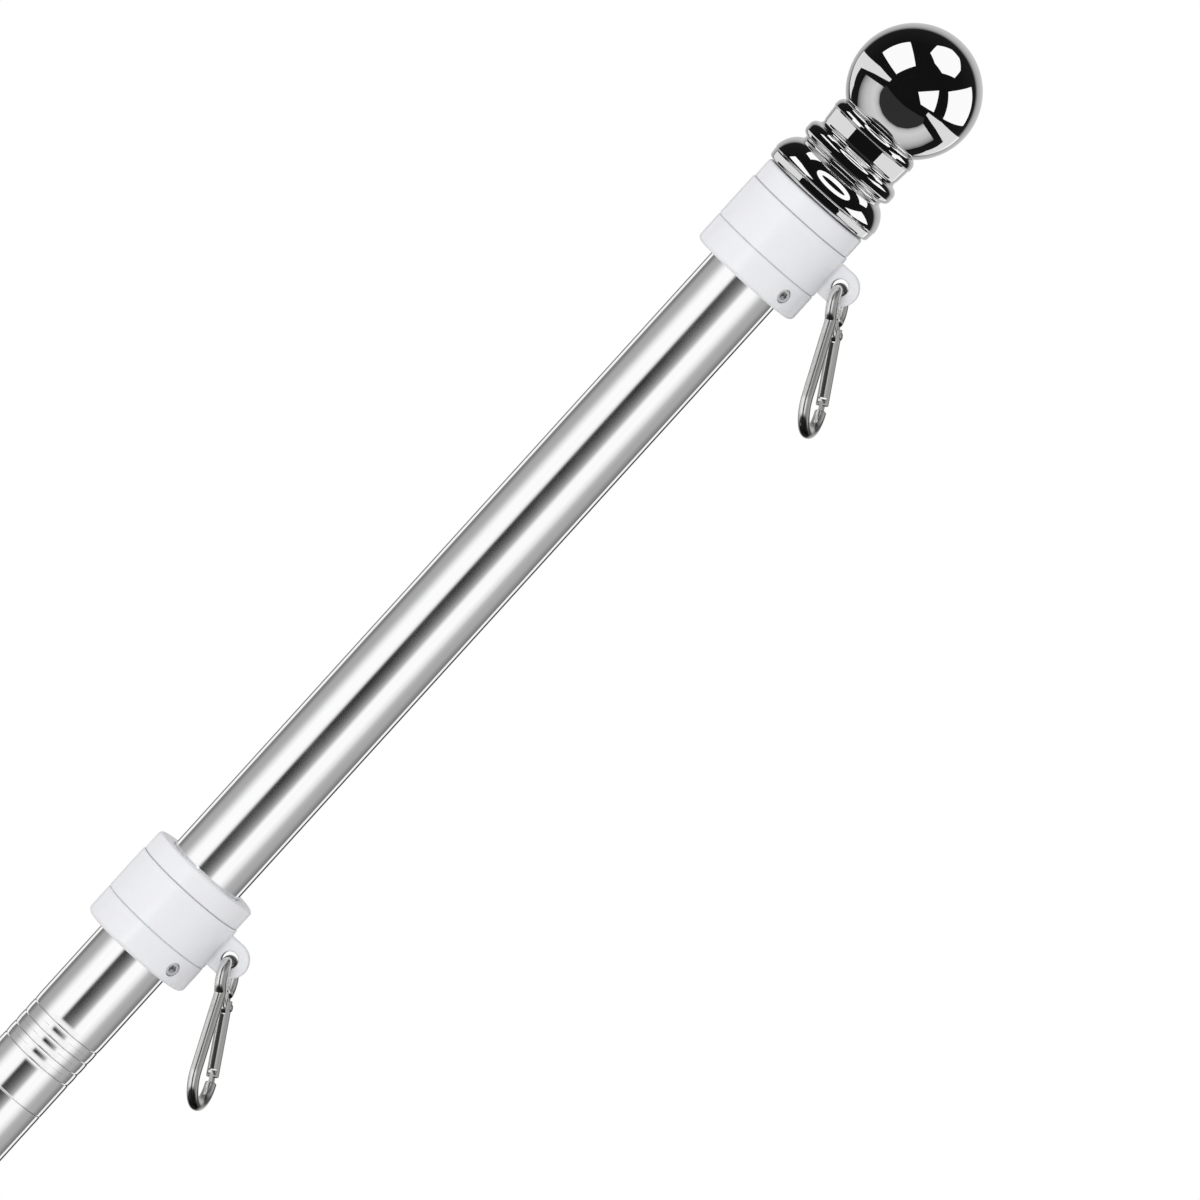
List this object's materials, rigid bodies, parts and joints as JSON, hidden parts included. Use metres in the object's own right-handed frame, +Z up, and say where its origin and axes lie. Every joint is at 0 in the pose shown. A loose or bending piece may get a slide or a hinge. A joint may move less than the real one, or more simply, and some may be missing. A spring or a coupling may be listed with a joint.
{
  "type": "wall-mounted flagpole",
  "caption": "Slanted wall flagpole: push-together steel tubes in a cast bracket, ball finial, and swivel rings with snap hooks for the flag.",
  "frame": {"origin": "where the pole's axis meets the wall, on the bracket's flat back face", "axes": "+X out from the wall, +Z up, +Y along the wall; the pole lies in the XZ plane"},
  "size_m": [1.291, 0.0646, 1.4433],
  "materials": {
    "pole_steel": "polished stainless tube",
    "chrome": "mirror chrome plate",
    "ring_plastic": "satin white moulding",
    "hook_steel": "polished wire",
    "screw_steel": "plain",
    "cast_aluminium": "tumbled casting"
  },
  "bodies": {
    "pole": {"wall_bracket": "cast_aluminium", "bracket_set_screw": "screw_steel", "pole_section_1": "pole_steel", "pole_section_2": "pole_steel", "pole_section_3": "pole_steel", "pole_section_4": "pole_steel", "pole_section_5": "pole_steel", "finial_base": "chrome", "finial_ball": "chrome"},
    "upper_collar": {"upper_ring_collar": "ring_plastic", "upper_ring_flange": "ring_plastic", "upper_ring_screw": "screw_steel"},
    "upper_band": {"upper_ring_band": "ring_plastic"},
    "upper_snap_hook": {"upper_hook": "hook_steel", "upper_gate_rivet": "hook_steel"},
    "upper_snap_gate": {"upper_gate": "hook_steel"},
    "lower_collar": {"lower_ring_collar": "ring_plastic", "lower_ring_flange": "ring_plastic", "lower_ring_screw": "screw_steel"},
    "lower_band": {"lower_ring_band": "ring_plastic"},
    "lower_snap_hook": {"lower_hook": "hook_steel", "lower_gate_rivet": "hook_steel"},
    "lower_snap_gate": {"lower_gate": "hook_steel"}
  },
  "joints": [
    {"name": "upper_ring_slide", "type": "slide", "parent": "pole", "child": "upper_collar", "axis": [0.6743, 0, 0.7385], "range_m": [-0.06, 0]},
    {"name": "upper_ring_swivel", "type": "hinge", "parent": "upper_collar", "child": "upper_band", "pos_m": [1.231, 0, 1.34812], "axis": [0.6743, 0, 0.7385], "continuous": true},
    {"name": "upper_hook_swing", "type": "hinge", "parent": "upper_band", "child": "upper_snap_hook", "pos_m": [1.24821, 0, 1.33241], "axis": [0, 1, 0], "range_deg": [-133.1, 16.9]},
    {"name": "upper_gate_hinge", "type": "hinge", "parent": "upper_snap_hook", "child": "upper_snap_gate", "pos_m": [1.24618, 0.00324, 1.31803], "axis": [-0.9652, 0.1908, 0.1789], "range_deg": [0, 24], "stiffness_Nm_per_rad": 0.02, "springref_deg": -17.19},
    {"name": "lower_ring_slide", "type": "slide", "parent": "pole", "child": "lower_collar", "axis": [0.6743, 0, 0.7385], "range_m": [-0.02, 0.06]},
    {"name": "lower_ring_swivel", "type": "hinge", "parent": "lower_collar", "child": "lower_band", "pos_m": [1.04631, 0, 1.14585], "axis": [0.6743, 0, 0.7385], "continuous": true},
    {"name": "lower_hook_swing", "type": "hinge", "parent": "lower_band", "child": "lower_snap_hook", "pos_m": [1.06351, 0, 1.13014], "axis": [0, 1, 0], "range_deg": [-133.1, 16.9]},
    {"name": "lower_gate_hinge", "type": "hinge", "parent": "lower_snap_hook", "child": "lower_snap_gate", "pos_m": [1.06149, 0.00324, 1.11577], "axis": [-0.9652, 0.1908, 0.1789], "range_deg": [0, 24], "stiffness_Nm_per_rad": 0.02, "springref_deg": -17.19}
  ]
}
